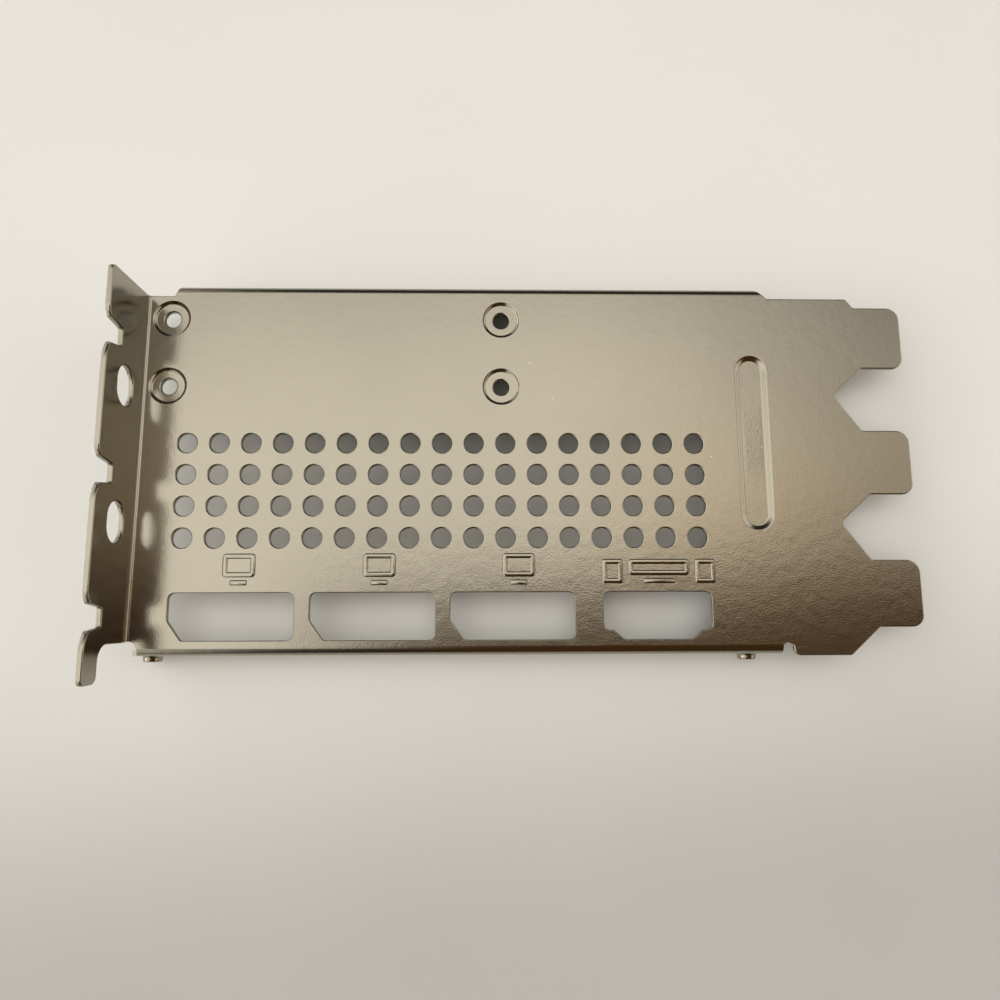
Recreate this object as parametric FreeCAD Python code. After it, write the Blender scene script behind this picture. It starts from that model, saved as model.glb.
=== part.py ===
"""Folded sheet-steel rear bracket of a three-slot graphics card.

The bracket lies on the edges of its two side flanges with the plate level and the screw tab
standing up at the low-X end.  X runs from the tab to the tongues, Y across the slots, +Z out of
the visible face.  Work is done from the tab's seat face (x = 0), the middle tongue's centre line
(y = 0) and the plate's visible face (z = 0); the finished solid is moved to the middle of its
footprint.  All sizes are in millimetres.
"""
import FreeCAD, Part
import math
import os

V = FreeCAD.Vector

# Sheet and its folds
SHEET = 0.86
BEND = 0.5
ROLL = 0.14
OVERCUT = 1.0
NEAR = 1e-4

# Slot rhythm of a computer chassis
SLOT_COUNT = 3
SLOT_PITCH = 20.32
REACH = 120.02

# Tongues that drop into the chassis
TONGUE_WIDTH = 10.2
TONGUE_TOP_CORNER = 2.0
TONGUE_LOW_CORNER = 1.75
TONGUE_TOP_NECK = 7.32
TONGUE_LOW_NECK = 6.8
GAP_ROOT_BACK = 11.65
GAP_ROOT_DROP = 9.48
GAP_ROOT_RADIUS = 0.8
NECK_RADIUS = 0.6

# Plate edges, measured outward from the nearest tongue's centre line
TOP_EDGE = 6.6
LOW_EDGE = 9.28
LOW_CORNER = 1.0

# Side flanges
FLANGE_DEPTH = 7.5
TOP_FLANGE_OUT = 8.42
LOW_FLANGE_OUT = 9.01
TOP_FLANGE_START = 3.95
TOP_FLANGE_START_RUN = 0.65
TOP_FLANGE_END_BACK = 21.3
LOW_FLANGE_START = 0.38
LOW_FLANGE_END_BACK = 21.82
FLANGE_CORNER = 1.2
RELIEF_WIDTH = 1.6
RELIEF_PAST_BEND = 0.27
CORNER_RELIEF_RADIUS = 1.34
CORNER_RELIEF_X = 0.3
CORNER_RELIEF_DROP = 1.14
CORNER_RELIEF_PAST_BEND = 0.1

# Screw tab
TAB_HEIGHT = 11.43
TAB_LOW_END = 7.02
TAB_CORNER = 0.9
EAR_LOW_END = 12.26
EAR_WIDTH = 3.88
EAR_CORNER = 1.1
EAR_FILLET = 2.2
NOTCH_OFFSET = 3.2
NOTCH_FLOOR = 2.65
NOTCH_MOUTH = 3.6
NOTCH_DEPTH = 4.08
NOTCH_RADIUS = 0.3
MOUTH_DROP = 0.9
MOUTH_LEAD_UPPER = 1.9
MOUTH_LEAD_LOWER = 2.7
LONG_HOLE_OFFSET = 9.93
LONG_HOLE_LENGTH = 6.0
LONG_HOLE_WIDTH = 4.7
LONG_HOLE_HEIGHT = 5.4

# Vent field
VENT_HOLE = 2.98
VENT_SIDES = 24
VENT_PITCH = 4.911
VENT_FIRST_X = 7.3
VENT_BELOW_SEAT = 9.15
VENT_TO_RIB = 4.8
VENT_TO_PORT = 6.5

# Dished screw seats
SEAT_SPACING_X = 52.05
SEAT_SPACING_Y = 11.0
SEAT_FIRST_X = 3.73
SEAT_BELOW_EDGE = 3.8
SEAT_WIDTH = 5.74
SEAT_DEPTH = 0.46
SEAT_DRAFT = 0.22
SEAT_HOLE = 2.5

# Pressed stiffening rib
RIB_BACK = 24.62
RIB_TOP_BELOW_EDGE = 9.5
RIB_LENGTH = 28.2
RIB_WIDTH = 5.3
RIB_WALL = 1.0
RIB_DEPTH = 0.45
RIB_SHOULDER = 0.3
RIB_SHOULDER_FALL = 0.075

# Connector windows
PORT_FIRST_X = 15.2
PORT_LAST_BACK = 40.62
PORT_LAST_EXTRA = 0.9
PORT_WEB = 2.35
PORT_FLOOR = 2.25
PORT_HEIGHT = 7.05
PORT_CORNER = 1.0
PORT_KEY_X = 2.15
PORT_KEY_Y = 2.95
PORT_COUNT = 3
LAST_PORT_NARROWER = 2.3
LAST_PORT_SIDE = 5.7
LAST_PORT_LEDGE = 1.5
LAST_PORT_LEDGE_CORNER = 0.4
LAST_PORT_SLOPE = 1.6

# Drawn and tapped bosses in the low flange
BOSS_FIRST_X = 2.35
BOSS_LAST_BACK = 26.1
BOSS_LEVEL = 4.3
BOSS_THREAD = 2.06
BOSS_REACH = 1.0
BOSS_TIP = 2.8
BOSS_BASE = 3.7
BOSS_FLARE = 0.5
BOSS_MOUTH = 0.45

# Lines that follow from the sizes above
OUTER_BEND = BEND + SHEET
QUARTER_ROUND_MID = 1 - math.sqrt(0.5)
slot_y = [SLOT_PITCH * ((SLOT_COUNT - 1) / 2 - i) for i in range(SLOT_COUNT)]
top_y = slot_y[0] + TOP_EDGE
low_y = slot_y[-1] - LOW_EDGE
top_flange_y = slot_y[0] + TOP_FLANGE_OUT
low_flange_y = slot_y[-1] - LOW_FLANGE_OUT
top_fold_y = top_flange_y - OUTER_BEND
low_fold_y = low_flange_y + OUTER_BEND
tab_low_y = slot_y[-1] - TAB_LOW_END
ear_low_y = slot_y[-1] - EAR_LOW_END
top_flange_x = (TOP_FLANGE_START, REACH - TOP_FLANGE_END_BACK)
low_flange_x = (LOW_FLANGE_START, REACH - LOW_FLANGE_END_BACK)
relief_x = low_flange_x[1] + RELIEF_WIDTH / 2
rib_x = REACH - RIB_BACK
rib_y = top_y - RIB_TOP_BELOW_EDGE - RIB_LENGTH / 2
seat_x = [SEAT_FIRST_X, SEAT_FIRST_X + SEAT_SPACING_X]
seat_y = [top_y - SEAT_BELOW_EDGE, top_y - SEAT_BELOW_EDGE - SEAT_SPACING_Y]
port_low_y = low_flange_y + PORT_FLOOR
port_top_y = port_low_y + PORT_HEIGHT
last_port_x = REACH - PORT_LAST_BACK
port_pitch = (last_port_x - PORT_FIRST_X - PORT_LAST_EXTRA) / PORT_COUNT
port_width = port_pitch - PORT_WEB


def corner(before, at, after, radius):
    """Start, middle and end of the arc that rounds one corner of an outline."""
    u = (before - at).normalize()
    w = (after - at).normalize()
    half = u.getAngle(w) / 2
    reach = radius / math.tan(half)
    bisector = (u + w).normalize()
    centre = at + bisector * (radius / math.sin(half))
    return at + u * reach, centre - bisector * radius, at + w * reach


def rounded_wire(points, place):
    """Closed wire through (a, b, radius) points; place turns a flat point into a 3-D one."""
    flat = [V(a, b, 0) for a, b, _ in points]
    count = len(flat)
    stops = []
    for i, (_, _, radius) in enumerate(points):
        if radius > 0:
            stops.append(corner(flat[i - 1], flat[i], flat[(i + 1) % count], radius))
        else:
            stops.append((flat[i],))
    edges = []
    for i, stop in enumerate(stops):
        if len(stop) == 3:
            edges.append(Part.Arc(*[place(p) for p in stop]).toShape())
        start, end = place(stop[-1]), place(stops[(i + 1) % count][0])
        if start.distanceToPoint(end) > NEAR:
            edges.append(Part.LineSegment(start, end).toShape())
    return Part.Wire(Part.__sortEdges__(edges))


def prism(points, place, direction):
    """Solid swept along direction from a rounded outline."""
    return Part.Face(rounded_wire(points, place)).extrude(direction)


def level(z):
    """Flat outlines in the plate's plane, at height z."""
    return lambda p: V(p.x, p.y, z)


def on_tab(p):
    """Flat outlines drawn on the tab as (y, z), on its outer face."""
    return V(-SHEET, p.x, p.y)


def turned(profile, centre, axis):
    """Solid of revolution: profile is (radius, distance along axis) from centre."""
    side = V(0, 0, 1).cross(axis) if abs(axis.z) < 0.5 else V(1, 0, 0)
    points = [centre + side * r + axis * h for r, h in profile]
    face = Part.Face(Part.makePolygon(points + [points[0]]))
    return face.revolve(centre, axis, 360)


def stadium(length, width):
    """Rounded-end slot outline about the origin, its length along Y."""
    r = width / 2
    return [(sx * r, sy * length / 2, r) for sx, sy in ((-1, -1), (1, -1), (1, 1), (-1, 1))]


def pressed_trough(wall, lift):
    """The rib's block under z = lift; wall lists (inset, fall) from its outline to its floor."""
    wires = []
    for inset, fall in wall:
        outline = stadium(RIB_LENGTH - 2 * inset, RIB_WIDTH - 2 * inset)
        wires.append(rounded_wire(outline, level(lift - fall)))
    trough = Part.makeLoft(wires, True, True)
    return trough.translated(V(rib_x, rib_y, 0))


def rib():
    """Pressed rib: the blister behind the sheet, and the cutter of its soft-shouldered front."""
    grow = SHEET * math.tan(math.atan2(RIB_DEPTH, RIB_WALL) / 2)
    blister = [(-grow, 0), (RIB_WALL - grow, RIB_DEPTH)]
    front = [(0, 0), (RIB_SHOULDER, RIB_SHOULDER_FALL),
             (RIB_WALL - RIB_SHOULDER, RIB_DEPTH - RIB_SHOULDER_FALL), (RIB_WALL, RIB_DEPTH)]
    return pressed_trough(blister, -SHEET), pressed_trough(front, 0)


def fold(centre, start, axis, length):
    """Quarter ring of sheet about a fold's axis, from direction start."""
    ring = [centre + start * r for r in (BEND, OUTER_BEND)]
    face = Part.Face(Part.makePolygon([
        ring[0], ring[1], ring[1] + axis * length, ring[0] + axis * length, ring[0]]))
    return face.revolve(centre, axis, 90)


def plate():
    """Flat plate with its row of tongues, out to the fold lines."""
    half = TONGUE_WIDTH / 2
    slope = (SLOT_PITCH - GAP_ROOT_DROP - half) / (GAP_ROOT_BACK - TONGUE_TOP_NECK)
    low_slope = (GAP_ROOT_DROP - half) / (GAP_ROOT_BACK - TONGUE_LOW_NECK)
    neck_x = REACH - TONGUE_TOP_NECK
    low_neck_x = REACH - TONGUE_LOW_NECK
    end_run = top_flange_x[1] - top_fold_y + top_y
    start_run = TOP_FLANGE_START_RUN * (top_fold_y - top_y) / (top_flange_y - top_y)
    points = [
        (BEND, top_y, 0),
        (top_flange_x[0], top_y, 0),
        (top_flange_x[0] + start_run, top_fold_y, 0),
        (end_run, top_fold_y, 0),
        (top_flange_x[1], top_y, 0),
        (neck_x - (TOP_EDGE - half) / slope, top_y, NECK_RADIUS),
    ]
    for i, y in enumerate(slot_y):
        points += [
            (neck_x, y + half, NECK_RADIUS),
            (REACH, y + half, TONGUE_TOP_CORNER),
            (REACH, y - half, TONGUE_LOW_CORNER),
            (low_neck_x, y - half, NECK_RADIUS),
        ]
        if i + 1 < SLOT_COUNT:
            points.append((REACH - GAP_ROOT_BACK, y - GAP_ROOT_DROP, GAP_ROOT_RADIUS))
    points += [
        (low_neck_x - (LOW_EDGE - half) / low_slope, low_y, NECK_RADIUS),
        (relief_x, low_y, 0),
        (relief_x, low_fold_y, 0),
        (BEND, low_fold_y, 0),
    ]
    return prism(points, level(-SHEET), V(0, 0, SHEET))


def flange(outer_y, fold_y, span, side, past=0):
    """Side flange with its fold, which runs past its end; side is +1 at high Y and -1 at low Y."""
    length = span[1] - span[0] + past
    start = V(0, 1, 0) if side > 0 else V(0, 0, 1)
    bend = fold(V(span[0], fold_y, -OUTER_BEND), start, V(1, 0, 0), length)
    leg = prism(
        [(span[0], -OUTER_BEND, 0), (span[1], -OUTER_BEND, 0),
         (span[1], -FLANGE_DEPTH, FLANGE_CORNER), (span[0], -FLANGE_DEPTH, FLANGE_CORNER)],
        lambda p: V(p.x, outer_y, p.y), V(0, -side * SHEET, 0))
    return [bend, leg]


def bend_relief():
    """Cutter of the round-ended notch between the low flange and the tongues."""
    r = RELIEF_WIDTH / 2
    root_y = low_fold_y + RELIEF_PAST_BEND
    left, right = relief_x - r, relief_x + r
    points = [
        (left, root_y, r), (right, root_y, r), (right, low_y, LOW_CORNER),
        (right + 2 * LOW_CORNER, low_y, 0), (right + 2 * LOW_CORNER, low_y - OVERCUT, 0),
        (left, low_y - OVERCUT, 0)]
    return prism(points, level(-OUTER_BEND - OVERCUT), V(0, 0, OUTER_BEND + 2 * OVERCUT))


def lead_in(mouth, run):
    """Corner point of the curve by which the tab's free edge falls into a notch's mouth."""
    radius = (run ** 2 + MOUTH_DROP ** 2) / (2 * MOUTH_DROP)
    turn = math.asin(abs(run) / radius)
    back = math.copysign(radius * math.tan(turn / 2), run)
    return mouth + run - back, TAB_HEIGHT, radius


def tab():
    """Screw tab with its fold, open notches, long holes and the ear past the plate's low edge."""
    bend = fold(V(BEND, tab_low_y, BEND), V(0, 0, -1), V(0, 1, 0), top_y - tab_low_y)
    mouth_z = TAB_HEIGHT - MOUTH_DROP
    floor_z = TAB_HEIGHT - NOTCH_DEPTH
    points = [(tab_low_y, BEND, 0), (top_y, BEND, 0), (top_y, TAB_HEIGHT, TAB_CORNER)]
    for y in slot_y:
        mid = y - NOTCH_OFFSET
        points += [
            lead_in(mid + NOTCH_MOUTH / 2, MOUTH_LEAD_UPPER),
            (mid + NOTCH_MOUTH / 2, mouth_z, 0),
            (mid + NOTCH_FLOOR / 2, floor_z, NOTCH_RADIUS),
            (mid - NOTCH_FLOOR / 2, floor_z, NOTCH_RADIUS),
            (mid - NOTCH_MOUTH / 2, mouth_z, 0),
            lead_in(mid - NOTCH_MOUTH / 2, -MOUTH_LEAD_LOWER),
        ]
    points += [
        (ear_low_y, TAB_HEIGHT, TAB_CORNER),
        (ear_low_y, TAB_HEIGHT - EAR_WIDTH, EAR_CORNER),
        (tab_low_y, TAB_HEIGHT - EAR_WIDTH, EAR_FILLET),
    ]
    blade = prism(points, on_tab, V(SHEET, 0, 0))
    holes = []
    for y in slot_y[:-1]:
        slot = [(y - LONG_HOLE_OFFSET + b, LONG_HOLE_HEIGHT + a, r)
                for a, b, r in stadium(LONG_HOLE_LENGTH, LONG_HOLE_WIDTH)]
        holes.append(prism(slot, on_tab, V(SHEET, 0, 0)))
    return [bend, blade.cut(holes)]


def port_outlines():
    """Connector windows: keyed ones with one cut corner, then the stepped one."""
    outlines = []
    for i in range(PORT_COUNT):
        x = PORT_FIRST_X + i * port_pitch
        left, right = x - port_width / 2, x + port_width / 2
        outlines.append([
            (left, port_top_y, PORT_CORNER), (right, port_top_y, PORT_CORNER),
            (right, port_low_y, PORT_CORNER), (left + PORT_KEY_X, port_low_y, NECK_RADIUS),
            (left, port_low_y + PORT_KEY_Y, PORT_CORNER)])
    half = (port_width - LAST_PORT_NARROWER) / 2
    ledge_y = port_top_y - LAST_PORT_SIDE
    right_side = [
        (half, port_top_y, PORT_CORNER), (half, ledge_y, PORT_CORNER),
        (half - LAST_PORT_LEDGE, ledge_y, LAST_PORT_LEDGE_CORNER),
        (half - LAST_PORT_LEDGE - LAST_PORT_SLOPE, port_low_y, PORT_CORNER)]
    left_side = [(-x, y, r) for x, y, r in reversed(right_side)]
    outlines.append([(last_port_x + x, y, r) for x, y, r in right_side + left_side])
    return outlines


def vents():
    """Punched vent holes as one list of cutters, many-sided so that the field stays light."""
    r = VENT_HOLE / 2
    first_y = seat_y[1] - VENT_BELOW_SEAT
    room_x = rib_x - RIB_WIDTH / 2 - VENT_TO_RIB - r - VENT_FIRST_X
    room_y = first_y - r - VENT_TO_PORT - port_top_y
    turns = [2 * math.pi * (k + 0.5) / VENT_SIDES for k in range(VENT_SIDES)]
    ring = [(r * math.cos(a), r * math.sin(a), 0) for a in turns]
    punch = prism(ring, level(-2 * SHEET), V(0, 0, 3 * SHEET))
    cutters = []
    for row in range(int(room_y / VENT_PITCH) + 1):
        for col in range(int(room_x / VENT_PITCH) + 1):
            centre = V(VENT_FIRST_X + col * VENT_PITCH, first_y - row * VENT_PITCH, 0)
            cutters.append(punch.translated(centre))
    return cutters


def seats():
    """Dished seats: the blisters behind the sheet, and the cutters for dishes and holes."""
    r, hole = SEAT_WIDTH / 2, SEAT_HOLE / 2
    deep = -SEAT_DEPTH
    blister = [(0, 0), (r + SEAT_DRAFT, 0), (r + SEAT_DRAFT, -SHEET), (r - SEAT_DRAFT, deep - SHEET),
               (0, deep - SHEET)]
    dish = [(0, deep - 2 * SHEET), (hole, deep - 2 * SHEET), (hole, deep), (r - SEAT_DRAFT, deep),
            (r, -ROLL), (r + ROLL, 0), (r + ROLL, SHEET), (0, SHEET)]
    spots = [V(x, y, 0) for x in seat_x for y in seat_y]
    up = V(0, 0, 1)
    return [turned(blister, p, up) for p in spots], [turned(dish, p, up) for p in spots]


def bosses():
    """Bosses drawn outward from the low flange, and the tapped holes through them."""
    bodies, holes = [], []
    thread, base, tip = BOSS_THREAD / 2, BOSS_BASE / 2, BOSS_TIP / 2
    inner = -SHEET
    flare = tip + (base - tip) * QUARTER_ROUND_MID
    body = [(0, inner / 2), (base, inner / 2), (base, 0), (flare, BOSS_FLARE * QUARTER_ROUND_MID),
            (tip, BOSS_FLARE), (tip, BOSS_REACH - ROLL), (tip - ROLL, BOSS_REACH), (0, BOSS_REACH)]
    roll_in = BOSS_MOUTH * QUARTER_ROUND_MID
    hole = [(0, inner - OVERCUT), (thread + BOSS_MOUTH, inner - OVERCUT), (thread + BOSS_MOUTH, inner),
            (thread + roll_in, inner + roll_in), (thread, inner + BOSS_MOUTH),
            (thread, BOSS_REACH + OVERCUT), (0, BOSS_REACH + OVERCUT)]
    for x in (BOSS_FIRST_X, REACH - BOSS_LAST_BACK):
        centre = V(x, low_flange_y, -BOSS_LEVEL)
        bodies.append(turned(body, centre, V(0, -1, 0)))
        holes.append(turned(hole, centre, V(0, -1, 0)))
    return bodies, holes


def rolled_rims(solid):
    """Front edges of the connector windows, softened as a punch leaves them."""
    rims = []
    for edge in solid.Edges:
        box = edge.BoundBox
        on_front = abs(box.ZMax) < NEAR and abs(box.ZMin) < NEAR
        in_row = box.YMax < port_top_y + ROLL and box.YMin > port_low_y - ROLL
        in_plate = box.XMin > BEND + ROLL and box.XMax < last_port_x + port_width / 2
        if on_front and in_row and in_plate:
            rims.append(edge)
    return solid.makeChamfer(ROLL, rims)


def bracket():
    """The whole sheet, folded, pressed, punched and tapped."""
    top_flange = flange(top_flange_y, top_fold_y, top_flange_x, 1)
    low_flange = flange(low_flange_y, low_fold_y, low_flange_x, -1, RELIEF_WIDTH / 2)
    run = top_flange_y - top_y + OVERCUT
    under, through = level(-FLANGE_DEPTH - OVERCUT), V(0, 0, FLANGE_DEPTH + 2 * OVERCUT)
    end_cut = prism(
        [(top_flange_x[1], top_y, 0), (top_flange_x[1] + OVERCUT, top_y, 0),
         (top_flange_x[1] + OVERCUT, top_y + run, 0), (top_flange_x[1] - run, top_y + run, 0)],
        under, through)
    lean = TOP_FLANGE_START_RUN * run / (top_flange_y - top_y)
    start_cut = prism(
        [(top_flange_x[0], top_y, 0), (top_flange_x[0] + lean, top_y + run, 0),
         (top_flange_x[0] - OVERCUT, top_y + run, 0), (top_flange_x[0] - OVERCUT, top_y, 0)],
        under, through)
    top_flange = [piece.cut([start_cut, end_cut]) for piece in top_flange]
    blisters, dishes = seats()
    bodies, holes = bosses()
    rib_back, rib_front = rib()
    corner_relief = Part.makeCylinder(
        CORNER_RELIEF_RADIUS, OUTER_BEND + OVERCUT,
        V(CORNER_RELIEF_X, tab_low_y - CORNER_RELIEF_DROP, -OUTER_BEND - CORNER_RELIEF_PAST_BEND))
    solid = plate().fuse(top_flange + low_flange + tab() + blisters + bodies + [rib_back])
    solid = solid.removeSplitter()
    windows = [prism(o, level(-2 * SHEET), V(0, 0, 3 * SHEET)) for o in port_outlines()]
    solid = solid.cut(dishes + holes + vents() + windows + [rib_front, corner_relief, bend_relief()])
    return rolled_rims(solid.removeSplitter())


os.makedirs("parts", exist_ok=True)
shape = bracket().Solids[0]
box = shape.BoundBox
shape.translate(V(-box.Center.x, -box.Center.y, -box.ZMin))
shape.exportStep("parts/bracket.step")
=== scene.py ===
"""Finish, stamped marks, screw threads and studio for a folded, nickel-plated card bracket."""

import math

import bmesh
import bpy
from bpy.props import FloatProperty, FloatVectorProperty, IntProperty, PointerProperty
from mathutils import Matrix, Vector


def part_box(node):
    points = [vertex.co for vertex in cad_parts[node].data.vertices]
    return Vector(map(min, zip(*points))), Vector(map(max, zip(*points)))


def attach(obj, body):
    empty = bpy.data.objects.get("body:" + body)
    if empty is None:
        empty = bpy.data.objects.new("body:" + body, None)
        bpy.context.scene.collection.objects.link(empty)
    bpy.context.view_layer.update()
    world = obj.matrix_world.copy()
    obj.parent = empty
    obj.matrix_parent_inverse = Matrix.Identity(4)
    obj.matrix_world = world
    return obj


bl_info = {
    "name": "Card bracket finish",
    "version": (1, 0, 0),
    "blender": (4, 5, 0),
    "location": "View3D > Sidebar > Bracket",
    "description": "Plating, stamped marks, screw threads and studio of a folded card bracket",
    "category": "Object",
}

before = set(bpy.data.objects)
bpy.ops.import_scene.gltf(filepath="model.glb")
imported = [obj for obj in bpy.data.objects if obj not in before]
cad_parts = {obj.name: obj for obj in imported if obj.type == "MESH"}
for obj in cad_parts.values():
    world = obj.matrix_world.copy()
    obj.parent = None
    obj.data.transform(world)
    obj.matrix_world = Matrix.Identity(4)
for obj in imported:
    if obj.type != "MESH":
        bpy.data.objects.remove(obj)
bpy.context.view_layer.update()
MM = 0.001

# Lines of the folded sheet, taken from its box
LOW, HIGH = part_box("bracket")
SHEET = 0.86 * MM
FLANGE_DEPTH = 7.5 * MM
FRONT_Z = LOW.z + FLANGE_DEPTH
SEAT_X = LOW.x + SHEET
TIP_X = HIGH.x
LOW_FLANGE_Y = LOW.y + 3.25 * MM

# Edges that count as cut, facets that count as one face, and faces that are shaded dead flat
CUT_ANGLE = math.radians(51)
FACET_ANGLE = math.radians(0.4)
SQUARE_SHARE = 0.99995
WIDE_FACE = 0.5 * MM * MM

# Places too tight to round and their reach, in millimetres; an edge counts by its middle
CRISP_SPOTS = (
    ((38.6, -26.9, 6.8), 0.95),
    ((-58.9, -26.2, 7.3), 2.0),
    ((-55.1, 29.9, 0.2), 1.0),
    ((38.1, 29.8, 0.1), 0.7),
    ((-59.2, -27.4, 3.6), 0.5),
    ((-8.2, 29.8, 0.0), 0.5),
)

# Connector windows along the low edge, and the places of the signs over them
FIRST_WINDOW_X = SEAT_X + 15.2 * MM
LAST_WINDOW_X = TIP_X - 40.62 * MM
KEYED_WINDOWS = 3
LAST_WINDOW_EXTRA = 0.9 * MM
WINDOW_PITCH = (LAST_WINDOW_X - FIRST_WINDOW_X - LAST_WINDOW_EXTRA) / KEYED_WINDOWS
FIRST_SIGN_X = FIRST_WINDOW_X + 0.95 * MM
SIGN_Y = LOW.y + 16.67 * MM
WIDE_SIGN_X = LAST_WINDOW_X + 0.3 * MM
WIDE_SIGN_Y = LOW.y + 15.69 * MM

# Shape of the signs: sloping side as inset and height in shares of the rise, foot, corners, boxes
SIGN_SLOPE = ((0, -0.2), (0, 0.0), (0.5, 0.75), (1.0, 1.0))
CORNER_STEPS = 6
FOOT_SHARE = 0.52
FOOT_CORNER = 0.2 * MM
SCREEN_CORNER = 0.6 * MM
BOX_CORNER = 0.4 * MM
LEAST_BAR_CORNER = 0.02 * MM
LEAST_FRAME_CORNER = 0.08 * MM
BOX_WIDTH = 3.2 * MM
BOX_HEIGHT = 3.7 * MM
BOXES_AND_GAPS = 2.5 * BOX_WIDTH
WIDE_SCREEN_LIFT = 0.6 * MM

# Bosses of the low flange and their thread, its widths in shares of the pitch
BOSS_X = (SEAT_X + 2.35 * MM, TIP_X - 26.1 * MM)
BOSS_Z = FRONT_Z - 4.3 * MM
BOSS_TIP_Y = LOW_FLANGE_Y - 1.0 * MM
THREAD_LENGTH = 1.45 * MM
THREAD_ROOT = 0.02 * MM
THREAD_FOOT = 0.44
THREAD_CREST = 0.08
THREAD_EXTRA_HAZE = 0.06

# Matte coined patch on the rib's floor, its fades from faint to full as distances from its middle
COINED_X = TIP_X - 24.62 * MM
COINED_Y = HIGH.y - 25.62 * MM
COINED_SIDE_FADE = (1.8 * MM, 1.0 * MM)
COINED_END_FADE = (7.5 * MM, 2.5 * MM)
COINED_EXTRA_HAZE = 0.06
DENT_WIDTH = 0.4 * MM
DENT_HEIGHT = 2.5

# Drift, grain and specks of the plating
DRIFT_WIDTH = 22 * MM
DRIFT_FADE = (0.3, 0.7)
DRIFT_TONES = (0.97, 1.02)
HAZE_SPREAD = 0.06
SWELL_SCALE = 0.14
SWELL_HEIGHT = 1.2
SPECK_TINT = (0.86, 0.83, 0.76)
SPECK_CELLS = 260.0
SPECK_FADE = (0.045, 0.02)
SPECK_CLOUDS = 90.0
SPECK_CLOUD_FADE = (0.6, 0.66)

# Board under the part: size, drift, and a painted shade on its low side close to the part
BOARD_REACH = 4.0
BOARD_DRIFT_WIDTH = 60 * MM
BOARD_DRIFT = 0.02
BOARD_HAZE = 0.75
PAINTED_SHADE_WAY = (-0.12, 0.99, 0)
PAINTED_SHADE_FADE = (-5 * MM, -70 * MM)
PAINTED_SHADE_DEPTH = 0.4
PAINTED_SHADE_REACH = (300 * MM, 140 * MM)

# Studio: the lamp's place, the least height that slopes are taken over, left wall, slanted card
LAMP_PLACE = (-0.02, -0.03, 0.4)
LEAST_HEIGHT = 0.02
LEFT_WALL_SHARE = 0.9
CARD_SLANT = 0.06


class SheetFinish(bpy.types.PropertyGroup):
    """Plating of the folded sheet."""
    tint: FloatVectorProperty(
        name="Plating tint", description="Colour of light mirrored straight off the nickel",
        subtype="COLOR", size=3, min=0, max=1, default=(0.32, 0.294, 0.238))
    haze: FloatProperty(
        name="Haze", description="Roughness of the satin plating", subtype="FACTOR",
        min=0, max=1, default=0.17)
    rolled_edge: FloatProperty(
        name="Rolled edge", description="Radius that punching and plating leave on cut edges",
        subtype="DISTANCE", unit="LENGTH", precision=5, min=0, default=0.22 * MM)
    grain: FloatProperty(
        name="Grain", description="Width of one pebble of the rolled steel's grain",
        subtype="DISTANCE", unit="LENGTH", precision=5, min=1e-5, default=0.24 * MM)
    relief: FloatProperty(
        name="Grain relief", description="Height of the grain from pit to peak",
        subtype="DISTANCE", unit="LENGTH", precision=6, min=0, default=0.012 * MM)


class MarkSizes(bpy.types.PropertyGroup):
    """Plain screen signs pressed over the connector windows."""
    rise: FloatProperty(
        name="Rise", description="How far a sign stands out of the plate",
        subtype="DISTANCE", unit="LENGTH", precision=5, min=0, default=0.16 * MM)
    stroke: FloatProperty(
        name="Stroke", description="Width of a sign's lines",
        subtype="DISTANCE", unit="LENGTH", precision=5, min=0, default=0.8 * MM)
    screen_width: FloatProperty(
        name="Screen width", description="Width of the small screen sign",
        subtype="DISTANCE", unit="LENGTH", precision=5, min=0, default=5.0 * MM)
    screen_height: FloatProperty(
        name="Screen height", description="Height of a small screen without its foot",
        subtype="DISTANCE", unit="LENGTH", precision=5, min=0, default=3.6 * MM)
    wide_width: FloatProperty(
        name="Wide sign width", description="Width of the sign over the stepped window",
        subtype="DISTANCE", unit="LENGTH", precision=5, min=0, default=17.4 * MM)


class ThreadSizes(bpy.types.PropertyGroup):
    """Thread in the two bosses of the low flange."""
    bore: FloatProperty(
        name="Bore", description="Diameter of the drilled hole",
        subtype="DISTANCE", unit="LENGTH", precision=5, min=0, default=2.06 * MM)
    pitch: FloatProperty(
        name="Pitch", description="Advance of one turn",
        subtype="DISTANCE", unit="LENGTH", precision=5, min=1e-5, default=0.45 * MM)
    depth: FloatProperty(
        name="Depth", description="Height of the thread's crest above the bore",
        subtype="DISTANCE", unit="LENGTH", precision=5, min=0, default=0.14 * MM)
    steps: IntProperty(
        name="Steps", description="Facets in one turn", min=8, default=40)


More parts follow.
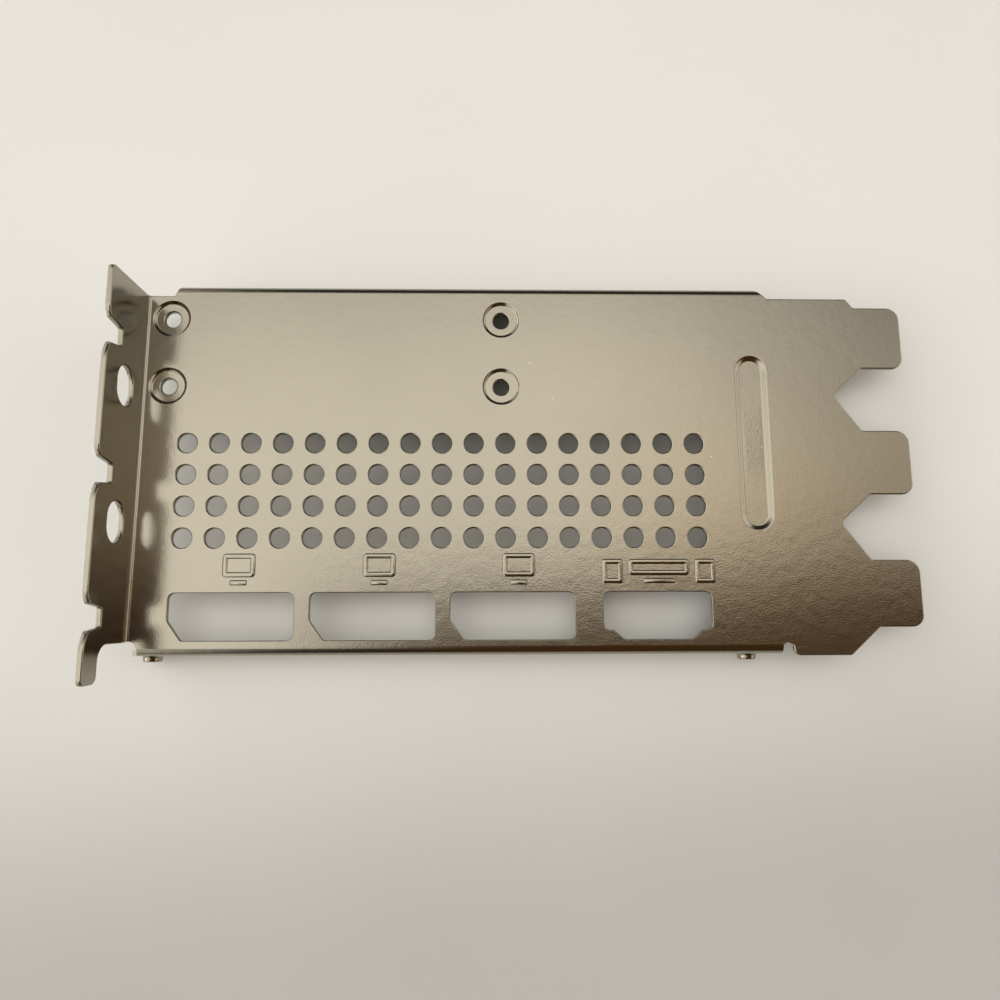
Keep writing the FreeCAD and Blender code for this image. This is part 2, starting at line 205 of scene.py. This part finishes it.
class StudioSetup(bpy.types.PropertyGroup):
    """Floor, light and camera."""
    floor_tint: FloatVectorProperty(
        name="Floor tint", description="Colour of the pale floor",
        subtype="COLOR", size=3, min=0, max=1, default=(0.82, 0.82, 0.81))
    dome_tint: FloatVectorProperty(
        name="Dome tint", description="Colour of the soft light from all round",
        subtype="COLOR", size=3, min=0, max=1, default=(1.0, 0.975, 0.91))
    warm_tint: FloatVectorProperty(
        name="Warm tint", description="Colour of the soft light toward the low right",
        subtype="COLOR", size=3, min=0, max=1, default=(1.0, 0.86, 0.69))
    dome_strength: FloatProperty(
        name="Dome strength", description="Brightness of the soft light", min=0, default=1.79)
    window_strength: FloatProperty(
        name="Window strength", description="Brightness of the low window on the left",
        min=0, default=3.25)
    wall_strength: FloatProperty(
        name="Wall strength", description="Brightness of the pale walls", min=0, default=1.38)
    room_strength: FloatProperty(
        name="Room strength", description="Brightness of the dim room", min=0, default=0.05)
    softbox_power: FloatProperty(
        name="Softbox power", description="Power of the lamp over the board",
        subtype="POWER", unit="POWER", min=0, default=0.26)
    softbox_size: FloatProperty(
        name="Softbox size", description="Edge of the lamp's square face",
        subtype="DISTANCE", unit="LENGTH", min=0, default=0.3)
    card_tint: FloatVectorProperty(
        name="Card tint", description="Colour of the dark card over the low right",
        subtype="COLOR", size=3, min=0, max=1, default=(0.106, 0.048, 0.01))
    backdrop_tint: FloatVectorProperty(
        name="Backdrop tint", description="Colour that the camera sees beyond the floor",
        subtype="COLOR", size=3, min=0, max=1, default=(0.72, 0.71, 0.68))
    lens: FloatProperty(
        name="Lens", description="Focal length on a 36 mm sensor",
        unit="CAMERA", min=1, default=26.514)
    eye: FloatVectorProperty(
        name="Eye", description="Place of the camera", subtype="TRANSLATION", unit="LENGTH",
        size=3, precision=5, default=(-6.344 * MM, -20.73 * MM, 119.5 * MM))
    turn: FloatVectorProperty(
        name="Turn", description="Turn of the camera from looking straight down",
        subtype="EULER", unit="ROTATION", size=3,
        default=(math.radians(8.4816), math.radians(-1.1466), math.radians(-0.1922)))


def node(tree, kind, inputs=None, **settings):
    """Add one node; inputs takes values or sockets to link, settings are the node's own fields."""
    made = tree.nodes.new(kind)
    for name, value in settings.items():
        setattr(made, name, value)
    for name, value in (inputs or {}).items():
        if isinstance(value, bpy.types.NodeSocket):
            tree.links.new(value, made.inputs[name])
        else:
            made.inputs[name].default_value = value
    return made


def math_node(tree, operation, *values):
    """One calculation with up to three values or sockets, given back as its result socket."""
    return node(tree, "ShaderNodeMath", dict(enumerate(values)), operation=operation).outputs[0]


def vector_node(tree, operation, inputs):
    """One calculation with vectors, given back as the node itself."""
    return node(tree, "ShaderNodeVectorMath", inputs, operation=operation)


def ramp(tree, value, start, end, low=0.0, high=1.0):
    """Smooth step of a value from low at start to high at end."""
    inputs = {"Value": value, "From Min": start, "From Max": end, "To Min": low, "To Max": high}
    made = node(tree, "ShaderNodeMapRange", inputs, interpolation_type="SMOOTHSTEP", clamp=True)
    return made.outputs["Result"]


def blend(tree, share, first, second):
    """Mix of two colours by share."""
    # The Mix node's colour sockets are the third pair of its inputs and its third output
    inputs = {0: share, 6: first, 7: second}
    return node(tree, "ShaderNodeMix", inputs, data_type="RGBA").outputs[2]


def opaque(colour, factor=1.0):
    """Four-part colour from three parts, made lighter or darker by factor."""
    return tuple(part * factor for part in colour) + (1.0,)


def node_group(name, inputs, outputs):
    """Empty shader group with float or vector sockets; gives the tree and its two end nodes."""
    tree = bpy.data.node_groups.new(name, "ShaderNodeTree")
    for socket, kind in inputs:
        tree.interface.new_socket(socket, in_out="INPUT", socket_type=kind)
    for socket, kind in outputs:
        tree.interface.new_socket(socket, in_out="OUTPUT", socket_type=kind)
    return tree, node(tree, "NodeGroupInput"), node(tree, "NodeGroupOutput")


def satin_grain():
    """Pebbled grain of plated cold-rolled steel: a height, and a tone that follows it."""
    if "Satin grain" in bpy.data.node_groups:
        return bpy.data.node_groups["Satin grain"]
    tree, start, end = node_group(
        "Satin grain",
        [("Vector", "NodeSocketVector"), ("Cell", "NodeSocketFloat")],
        [("Height", "NodeSocketFloat"), ("Tone", "NodeSocketFloat")])
    fine = math_node(tree, "DIVIDE", 1.0, start.outputs["Cell"])
    broad = math_node(tree, "MULTIPLY", fine, SWELL_SCALE)
    inputs = {"Vector": start.outputs["Vector"], "Scale": fine, "Detail": 2.0, "Roughness": 0.6}
    pebbles = node(tree, "ShaderNodeTexNoise", inputs)
    inputs = {"Vector": start.outputs["Vector"], "Scale": broad, "Detail": 1.0}
    swell = node(tree, "ShaderNodeTexNoise", inputs)
    lifted = math_node(tree, "MULTIPLY", swell.outputs["Fac"], SWELL_HEIGHT)
    height = math_node(tree, "ADD", pebbles.outputs["Fac"], lifted)
    tree.links.new(height, end.inputs["Height"])
    tree.links.new(pebbles.outputs["Fac"], end.inputs["Tone"])
    return tree


def tone_drift():
    """Slow cloudy change of tone over a surface, from 0 to 1."""
    if "Tone drift" in bpy.data.node_groups:
        return bpy.data.node_groups["Tone drift"]
    tree, start, end = node_group(
        "Tone drift",
        [("Vector", "NodeSocketVector"), ("Size", "NodeSocketFloat")],
        [("Share", "NodeSocketFloat")])
    scale = math_node(tree, "DIVIDE", 1.0, start.outputs["Size"])
    inputs = {"Vector": start.outputs["Vector"], "Scale": scale, "Detail": 3.0}
    cloud = node(tree, "ShaderNodeTexNoise", inputs)
    tree.links.new(ramp(tree, cloud.outputs["Fac"], *DRIFT_FADE), end.inputs["Share"])
    return tree


def handling_marks():
    """Scattered light specks, as one mask."""
    if "Handling marks" in bpy.data.node_groups:
        return bpy.data.node_groups["Handling marks"]
    tree, start, end = node_group(
        "Handling marks", [("Vector", "NodeSocketVector")], [("Mask", "NodeSocketFloat")])
    inputs = {"Vector": start.outputs["Vector"], "Scale": SPECK_CELLS, "Randomness": 1.0}
    cells = node(tree, "ShaderNodeTexVoronoi", inputs)
    dots = ramp(tree, cells.outputs["Distance"], *SPECK_FADE)
    inputs = {"Vector": start.outputs["Vector"], "Scale": SPECK_CLOUDS}
    where = node(tree, "ShaderNodeTexNoise", inputs)
    few = ramp(tree, where.outputs["Fac"], *SPECK_CLOUD_FADE)
    tree.links.new(math_node(tree, "MULTIPLY", dots, few), end.inputs["Mask"])
    return tree


def placed_group(tree, group, **inputs):
    """Use of a shared group in a material, with values or links for its inputs."""
    return node(tree, "ShaderNodeGroup", inputs, node_tree=group)


def empty_material(name):
    """Node material with its output and Principled shader, and the object coordinates."""
    material = bpy.data.materials.new(name)
    material.use_nodes = True
    tree = material.node_tree
    tree.nodes.clear()
    shader = node(tree, "ShaderNodeBsdfPrincipled")
    out = node(tree, "ShaderNodeOutputMaterial")
    tree.links.new(shader.outputs["BSDF"], out.inputs["Surface"])
    place = node(tree, "ShaderNodeTexCoord").outputs["Object"]
    return material, tree, shader, place


def distance_from(tree, value, middle):
    """Distance of a coordinate from a middle line."""
    return math_node(tree, "ABSOLUTE", math_node(tree, "SUBTRACT", value, middle))


def coined_patch(tree, place):
    """Mask of the matte coined patch on the rib's floor."""
    parts = node(tree, "ShaderNodeSeparateXYZ", {0: place})
    side = ramp(tree, distance_from(tree, parts.outputs["X"], COINED_X), *COINED_SIDE_FADE)
    ends = ramp(tree, distance_from(tree, parts.outputs["Y"], COINED_Y), *COINED_END_FADE)
    return math_node(tree, "MULTIPLY", side, ends)


def nickel(name, finish, haze, coined=False):
    """Satin nickel plating over rolled steel."""
    material, tree, shader, place = empty_material(name)
    grain = placed_group(tree, satin_grain(), Vector=place, Cell=finish.grain)
    drift = placed_group(tree, tone_drift(), Vector=place, Size=DRIFT_WIDTH).outputs["Share"]
    marks = placed_group(tree, handling_marks(), Vector=place).outputs["Mask"]
    cloudy = blend(tree, drift, *(opaque(finish.tint, tone) for tone in DRIFT_TONES))
    tinted = blend(tree, marks, cloudy, opaque(SPECK_TINT))
    rough = math_node(
        tree, "MULTIPLY_ADD", grain.outputs["Tone"], HAZE_SPREAD, haze - HAZE_SPREAD / 2)
    height = grain.outputs["Height"]
    if coined:
        patch = coined_patch(tree, place)
        extra = math_node(tree, "MULTIPLY", patch, COINED_EXTRA_HAZE)
        rough = math_node(tree, "ADD", rough, extra)
        inputs = {"Vector": place, "Scale": 1 / DENT_WIDTH, "Detail": 2.0}
        dents = node(tree, "ShaderNodeTexNoise", inputs).outputs["Fac"]
        dents = math_node(tree, "MULTIPLY", math_node(tree, "MULTIPLY", dents, patch), DENT_HEIGHT)
        height = math_node(tree, "ADD", height, dents)
    inputs = {"Strength": 1.0, "Distance": finish.relief, "Height": height}
    bump = node(tree, "ShaderNodeBump", inputs)
    tree.links.new(tinted, shader.inputs["Base Color"])
    tree.links.new(rough, shader.inputs["Roughness"])
    tree.links.new(bump.outputs["Normal"], shader.inputs["Normal"])
    shader.inputs["Metallic"].default_value = 1.0
    return material


def floor_paper(tint):
    """Pale matte board with a faint drift of tone and a painted shade that makes it a little darker
    below the part.
    """
    material, tree, shader, place = empty_material("floor_board")
    drift = placed_group(tree, tone_drift(), Vector=place, Size=BOARD_DRIFT_WIDTH)
    # Painted shade: the board's colour darkens on its low side close to the part and fades out
    # farther away
    toward = vector_node(tree, "DOT_PRODUCT", {0: place, 1: PAINTED_SHADE_WAY}).outputs["Value"]
    shade = ramp(tree, toward, *PAINTED_SHADE_FADE, 0.0, PAINTED_SHADE_DEPTH)
    reach = vector_node(tree, "LENGTH", {0: place}).outputs["Value"]
    painted_shade_nearby = ramp(tree, reach, *PAINTED_SHADE_REACH)
    painted_lightness = math_node(tree, "SUBTRACT", 1.0, math_node(tree, "MULTIPLY", shade, painted_shade_nearby))
    drifted = math_node(tree, "MULTIPLY_ADD", drift.outputs["Share"], BOARD_DRIFT, painted_lightness)
    tone = vector_node(tree, "SCALE", {0: tint, "Scale": drifted}).outputs["Vector"]
    tree.links.new(tone, shader.inputs["Base Color"])
    shader.inputs["Roughness"].default_value = BOARD_HAZE
    return material


def mesh_piece(name, bm, material):
    """Smooth object from a finished bmesh, hung on the root body's empty."""
    bmesh.ops.recalc_face_normals(bm, faces=bm.faces)
    for face in bm.faces:
        face.smooth = True
    mesh = bpy.data.meshes.new(name)
    bm.to_mesh(mesh)
    bm.free()
    mesh.materials.append(material)
    piece = bpy.data.objects.new(name, mesh)
    bpy.context.scene.collection.objects.link(piece)
    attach(piece, "root")


def geometry_group(name):
    """Empty geometry group; gives the tree, its two end nodes and the angle of each edge."""
    tree = bpy.data.node_groups.new(name, "GeometryNodeTree")
    tree.interface.new_socket("Geometry", in_out="INPUT", socket_type="NodeSocketGeometry")
    tree.interface.new_socket("Geometry", in_out="OUTPUT", socket_type="NodeSocketGeometry")
    angle = node(tree, "GeometryNodeInputMeshEdgeAngle").outputs["Unsigned Angle"]
    return tree, node(tree, "NodeGroupInput"), node(tree, "NodeGroupOutput"), angle


def compare(tree, operation, first, second):
    """Test of two numbers."""
    made = node(tree, "FunctionNodeCompare", {0: first, 1: second},
                data_type="FLOAT", operation=operation)
    return made.outputs[0]


def roll_weights():
    """Geometry group that marks the cut edges to round, clear of the crisp spots."""
    tree, start, end, angle = geometry_group("Roll weights")
    place = node(tree, "GeometryNodeInputPosition").outputs[0]
    weight = compare(tree, "GREATER_THAN", angle, CUT_ANGLE)
    for spot, reach in CRISP_SPOTS:
        away = vector_node(tree, "DISTANCE", {0: place, 1: Vector(spot) * MM}).outputs["Value"]
        clear = compare(tree, "GREATER_THAN", away, reach * MM)
        weight = math_node(tree, "MULTIPLY", weight, clear)
    inputs = {"Geometry": start.outputs[0], "Name": "bevel_weight_edge", "Value": weight}
    stored = node(tree, "GeometryNodeStoreNamedAttribute", inputs, data_type="FLOAT", domain="EDGE")
    tree.links.new(stored.outputs[0], end.inputs[0])
    return tree


def soft_shading():
    """Geometry group that smooths faces and keeps cut edges sharp."""
    tree, start, end, angle = geometry_group("Soft shading")
    shallow = compare(tree, "LESS_EQUAL", angle, CUT_ANGLE)
    inputs = {"Geometry": start.outputs[0]}
    faces = node(tree, "GeometryNodeSetShadeSmooth", inputs, domain="FACE")
    inputs = {"Geometry": faces.outputs[0], "Shade Smooth": shallow}
    edges = node(tree, "GeometryNodeSetShadeSmooth", inputs, domain="EDGE")
    tree.links.new(edges.outputs[0], end.inputs[0])
    return tree


def level_faces():
    """Geometry group that gives wide faces square to an axis their own normal at every corner."""
    tree, start, end, _ = geometry_group("Level faces")
    normal = node(tree, "GeometryNodeInputNormal").outputs
    inputs = {0: normal["True Normal"]}
    own = node(tree, "GeometryNodeFieldOnDomain", inputs, data_type="FLOAT_VECTOR", domain="FACE")
    size = vector_node(tree, "ABSOLUTE", {0: own.outputs[0]})
    x, y, z = node(tree, "ShaderNodeSeparateXYZ", {0: size.outputs[0]}).outputs
    most = math_node(tree, "MAXIMUM", math_node(tree, "MAXIMUM", x, y), z)
    square = compare(tree, "GREATER_THAN", most, SQUARE_SHARE)
    area = node(tree, "GeometryNodeInputMeshFaceArea").outputs[0]
    wide = compare(tree, "GREATER_THAN", area, WIDE_FACE)
    inputs = {
        "Switch": math_node(tree, "MULTIPLY", square, wide),
        "False": normal["Normal"],
        "True": own.outputs[0],
    }
    pick = node(tree, "GeometryNodeSwitch", inputs, input_type="VECTOR")
    inputs = {"Mesh": start.outputs[0], "Custom Normal": pick.outputs[0]}
    flat = node(tree, "GeometryNodeSetMeshNormal", inputs, mode="FREE", domain="CORNER")
    tree.links.new(flat.outputs[0], end.inputs[0])
    return tree


def roll_edges(sheet, finish):
    """Modifiers that join the sheet's facets and round its cut edges."""
    join = sheet.modifiers.new("join_facets", "WELD")
    join.merge_threshold = 1e-6
    flats = sheet.modifiers.new("merge_flats", "DECIMATE")
    flats.decimate_type = "DISSOLVE"
    flats.angle_limit = FACET_ANGLE
    weigh = sheet.modifiers.new("roll_weights", "NODES")
    weigh.node_group = roll_weights()
    roll = sheet.modifiers.new("rolled_edges", "BEVEL")
    roll.width = finish.rolled_edge
    roll.segments = 3
    roll.limit_method = "WEIGHT"
    roll.use_clamp_overlap = False
    roll.loop_slide = False
    roll.face_strength_mode = "FSTR_AFFECTED"
    shade = sheet.modifiers.new("soft_shading", "NODES")
    shade.node_group = soft_shading()
    flatten = sheet.modifiers.new("flat_faces", "WEIGHTED_NORMAL")
    flatten.keep_sharp = True
    flatten.use_face_influence = True
    flatten.weight = 100
    level = sheet.modifiers.new("level_faces", "NODES")
    level.node_group = level_faces()
    split = sheet.modifiers.new("even_split", "TRIANGULATE")
    split.ngon_method = "BEAUTY"
    split.min_vertices = 5
    split.keep_custom_normals = True


def rounded_loop(centre, width, height, radius, z):
    """Points of a rounded rectangle, anticlockwise, at height z."""
    points = []
    for turn, (sx, sy) in enumerate(((1, 1), (-1, 1), (-1, -1), (1, -1))):
        for k in range(CORNER_STEPS + 1):
            a = math.pi / 2 * (turn + k / CORNER_STEPS)
            x = sx * (width / 2 - radius) + radius * math.cos(a)
            y = sy * (height / 2 - radius) + radius * math.sin(a)
            points.append(Vector((centre[0] + x, centre[1] + y, z)))
    return points


def bridge(bm, loops, ring):
    """Closed skin over loops of equal count: a ring joins last to first, else both get a cap."""
    rows = [[bm.verts.new(p) for p in loop] for loop in loops]
    count = len(rows[0])
    if ring:
        rows.append(rows[0])
    else:
        bm.faces.new(rows[-1])
        bm.faces.new(list(reversed(rows[0])))
    for lower, upper in zip(rows, rows[1:]):
        for i in range(count):
            j = (i + 1) % count
            bm.faces.new((lower[i], lower[j], upper[j], upper[i]))


def raised_bar(bm, centre, width, height, radius, rise):
    """Plateau with sloping sides, its foot a little under the plate's face."""
    loops = []
    for inset, z in SIGN_SLOPE:
        cut = 2 * inset * rise
        corner = max(radius - inset * rise, LEAST_BAR_CORNER)
        loops.append(rounded_loop(
            centre, width - cut, height - cut, corner, FRONT_Z + z * rise))
    bridge(bm, loops, ring=False)


def raised_frame(bm, centre, width, height, radius, stroke, rise):
    """Raised line along a rounded rectangle."""
    loops = []
    profile = [(inset * rise, z) for inset, z in SIGN_SLOPE]
    profile += [(stroke - inset * rise, z) for inset, z in reversed(SIGN_SLOPE)]
    for inset, z in profile:
        corner = max(radius - inset, LEAST_FRAME_CORNER)
        loops.append(rounded_loop(
            centre, width - 2 * inset, height - 2 * inset, corner, FRONT_Z + z * rise))
    bridge(bm, loops, ring=True)


def screen_sign(bm, centre, width, height, sizes):
    """Screen outline on a short foot."""
    rise, stroke = sizes.rise, sizes.stroke
    raised_frame(bm, centre, width, height, SCREEN_CORNER, stroke, rise)
    foot = (centre[0], centre[1] - height / 2 - stroke)
    raised_bar(bm, foot, width * FOOT_SHARE, stroke, FOOT_CORNER, rise)


def thread_ridge(bm, centre, sizes):
    """Helical crest inside a bore that runs along Y."""
    turns = THREAD_LENGTH / sizes.pitch - 1
    count = int(turns * sizes.steps)
    wall = sizes.bore / 2 + THREAD_ROOT
    crest = sizes.bore / 2 - sizes.depth
    profile = (
        (wall, -THREAD_FOOT), (crest, -THREAD_CREST), (crest, THREAD_CREST), (wall, THREAD_FOOT))
    before = None
    for k in range(count + 1):
        a = 2 * math.pi * k / sizes.steps
        middle = centre.y + sizes.pitch * (0.5 + k / sizes.steps)
        now = []
        for radius, share in profile:
            x = centre.x + radius * math.cos(a)
            z = centre.z + radius * math.sin(a)
            now.append(bm.verts.new((x, middle + share * sizes.pitch, z)))
        if before:
            for i in range(len(profile)):
                j = (i + 1) % len(profile)
                bm.faces.new((before[i], before[j], now[j], now[i]))
        else:
            bm.faces.new(now)
        before = now
    bm.faces.new(list(reversed(before)))


class BRACKET_OT_plate_sheet(bpy.types.Operator):
    """Round the sheet's cut edges and plate it"""
    bl_idname = "bracket.plate_sheet"
    bl_label = "Plate sheet"

    def execute(self, context):
        finish = context.scene.sheet_finish
        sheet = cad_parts["bracket"]
        roll_edges(sheet, finish)
        sheet.material_slots[0].material = nickel("satin_nickel", finish, finish.haze, coined=True)
        return {"FINISHED"}


class BRACKET_OT_press_signs(bpy.types.Operator):
    """Press plain screen signs over the connector windows"""
    bl_idname = "bracket.press_signs"
    bl_label = "Press signs"

    def execute(self, context):
        sizes, finish = context.scene.mark_sizes, context.scene.sheet_finish
        material = nickel("sign_nickel", finish, finish.haze)
        for i in range(KEYED_WINDOWS):
            bm = bmesh.new()
            place = (FIRST_SIGN_X + i * WINDOW_PITCH, SIGN_Y)
            screen_sign(bm, place, sizes.screen_width, sizes.screen_height, sizes)
            mesh_piece(f"screen_sign_{i + 1}", bm, material)
        bm = bmesh.new()
        place = (WIDE_SIGN_X, WIDE_SIGN_Y + WIDE_SCREEN_LIFT)
        width, height = sizes.wide_width - BOXES_AND_GAPS, BOX_HEIGHT - 2 * WIDE_SCREEN_LIFT
        screen_sign(bm, place, width, height, sizes)
        for side in (-1, 1):
            place = (WIDE_SIGN_X + side * (sizes.wide_width - BOX_WIDTH) / 2, WIDE_SIGN_Y)
            raised_frame(bm, place, BOX_WIDTH, BOX_HEIGHT, BOX_CORNER, sizes.stroke, sizes.rise)
        mesh_piece("wide_screen_sign", bm, material)
        return {"FINISHED"}


class BRACKET_OT_tap_bosses(bpy.types.Operator):
    """Cut the screw thread in the two bosses"""
    bl_idname = "bracket.tap_bosses"
    bl_label = "Tap bosses"

    def execute(self, context):
        sizes, finish = context.scene.thread_sizes, context.scene.sheet_finish
        bm = bmesh.new()
        for x in BOSS_X:
            thread_ridge(bm, Vector((x, BOSS_TIP_Y, BOSS_Z)), sizes)
        material = nickel("thread_nickel", finish, finish.haze + THREAD_EXTRA_HAZE)
        mesh_piece("boss_threads", bm, material)
        return {"FINISHED"}


def soft_patch(tree, strength, edges):
    """Brightness that fades over each edge, given as a value, its dark end and its light end."""
    for value, dark_end, light_end in edges:
        strength = math_node(tree, "MULTIPLY", ramp(tree, value, dark_end, light_end), strength)
    return strength


def dome(world, setup):
    """Ceiling panel, two pale walls, a window and a dark card, behind a plain backdrop."""
    world.use_nodes = True
    tree = world.node_tree
    tree.nodes.clear()
    way = node(tree, "ShaderNodeTexCoord").outputs["Generated"]
    x, y, z = node(tree, "ShaderNodeSeparateXYZ", {0: way}).outputs
    up = math_node(tree, "MAXIMUM", z, LEAST_HEIGHT)
    along = math_node(tree, "DIVIDE", x, up)
    across = math_node(tree, "DIVIDE", y, up)
    slant = math_node(tree, "SUBTRACT", across, math_node(tree, "MULTIPLY", along, CARD_SLANT))
    aside = math_node(tree, "ABSOLUTE", y)
    panel = soft_patch(tree, setup.dome_strength, (
        (along, 0.95, 0.1), (along, -1.2, -0.6), (across, 1.0, 0.2), (across, -0.9, -0.25)))
    left = soft_patch(tree, LEFT_WALL_SHARE * setup.wall_strength, (
        (x, -0.25, -0.5), (aside, 0.97, 0.85), (z, 0.0, 0.12)))
    right = soft_patch(tree, setup.wall_strength, (
        (x, 0.45, 0.75), (aside, 0.78, 0.55), (z, 0.1, 0.25)))
    window = soft_patch(tree, setup.window_strength, (
        (x, -0.5, -0.75), (aside, 0.7, 0.45), (z, 0.0, 0.12), (z, 0.5, 0.32)))
    card = soft_patch(tree, 1.0, (
        (along, -0.35, -0.07), (along, 1.6, 1.1), (slant, 0.06, 0.0)))
    warmth = soft_patch(tree, 1.0, ((along, 0.0, 0.4), (across, 0.4, 0.1)))
    brightest = math_node(tree, "MAXIMUM", math_node(tree, "MAXIMUM", panel, left), window)
    light = math_node(tree, "ADD", math_node(tree, "ADD", brightest, right), setup.room_strength)
    tint = blend(tree, warmth, opaque(setup.dome_tint), opaque(setup.warm_tint))
    lit = vector_node(tree, "SCALE", {0: tint, "Scale": light}).outputs["Vector"]
    colour = blend(tree, card, lit, opaque(setup.card_tint))
    seen = node(tree, "ShaderNodeLightPath").outputs["Is Camera Ray"]
    colour = blend(tree, seen, colour, opaque(setup.backdrop_tint))
    shader = node(tree, "ShaderNodeBackground", {"Color": colour})
    out = node(tree, "ShaderNodeOutputWorld")
    tree.links.new(shader.outputs[0], out.inputs["Surface"])


def softbox(setup):
    """Lamp high overhead that lights the board but leaves no shine on the metal."""
    data = bpy.data.lights.new("softbox", "AREA")
    data.size = setup.softbox_size
    data.energy = setup.softbox_power
    data.color = setup.dome_tint
    lamp = bpy.data.objects.new("softbox", data)
    lamp.location = LAMP_PLACE
    lamp.visible_glossy = False
    bpy.context.scene.collection.objects.link(lamp)


def camera(setup):
    """Camera over the plate, looking almost straight down."""
    data = bpy.data.cameras.new("camera")
    data.lens = setup.lens
    data.sensor_width = 36.0
    data.clip_start = 5 * MM
    eye = bpy.data.objects.new("camera", data)
    eye.location = setup.eye
    eye.rotation_euler = setup.turn
    bpy.context.scene.collection.objects.link(eye)
    bpy.context.scene.camera = eye


class BRACKET_OT_set_stage(bpy.types.Operator):
    """Lay the pale floor and set the light and the camera"""
    bl_idname = "bracket.set_stage"
    bl_label = "Set stage"

    def execute(self, context):
        setup = context.scene.studio_setup
        mesh = bpy.data.meshes.new("floor")
        corners = [(x * BOARD_REACH, y * BOARD_REACH, LOW.z)
                   for x, y in ((-1, -1), (1, -1), (1, 1), (-1, 1))]
        mesh.from_pydata(corners, [], [(0, 1, 2, 3)])
        mesh.materials.append(floor_paper(setup.floor_tint))
        floor = bpy.data.objects.new("floor", mesh)
        context.scene.collection.objects.link(floor)
        world = bpy.data.worlds.new("studio_dome")
        context.scene.world = world
        dome(world, setup)
        softbox(setup)
        camera(setup)
        context.scene.view_settings.view_transform = "Standard"
        return {"FINISHED"}


class BRACKET_PT_tools(bpy.types.Panel):
    """Steps that finish the bracket, and their sizes"""
    bl_idname = "BRACKET_PT_tools"
    bl_label = "Card bracket"
    bl_space_type = "VIEW_3D"
    bl_region_type = "UI"
    bl_category = "Bracket"

    def draw(self, context):
        for settings, step in STEPS:
            box = self.layout.box()
            group = getattr(context.scene, settings)
            for name in SETTINGS[settings].__annotations__:
                box.prop(group, name)
            box.operator(step)


SETTINGS = {
    "sheet_finish": SheetFinish,
    "mark_sizes": MarkSizes,
    "thread_sizes": ThreadSizes,
    "studio_setup": StudioSetup,
}
STEPS = (
    ("sheet_finish", "bracket.plate_sheet"),
    ("mark_sizes", "bracket.press_signs"),
    ("thread_sizes", "bracket.tap_bosses"),
    ("studio_setup", "bracket.set_stage"),
)
CLASSES = (
    *SETTINGS.values(), BRACKET_OT_plate_sheet, BRACKET_OT_press_signs, BRACKET_OT_tap_bosses,
    BRACKET_OT_set_stage, BRACKET_PT_tools)


def register():
    """Make the settings, steps and panel known to Blender."""
    for cls in CLASSES:
        bpy.utils.register_class(cls)
    for name, cls in SETTINGS.items():
        setattr(bpy.types.Scene, name, PointerProperty(type=cls))


def unregister():
    """Take the settings, steps and panel away again."""
    for name in SETTINGS:
        delattr(bpy.types.Scene, name)
    for cls in reversed(CLASSES):
        bpy.utils.unregister_class(cls)


def main():
    """Run every step in order."""
    register()
    for _, step in STEPS:
        family, name = step.split(".")
        getattr(getattr(bpy.ops, family), name)()


if __name__ == "__main__":
    main()
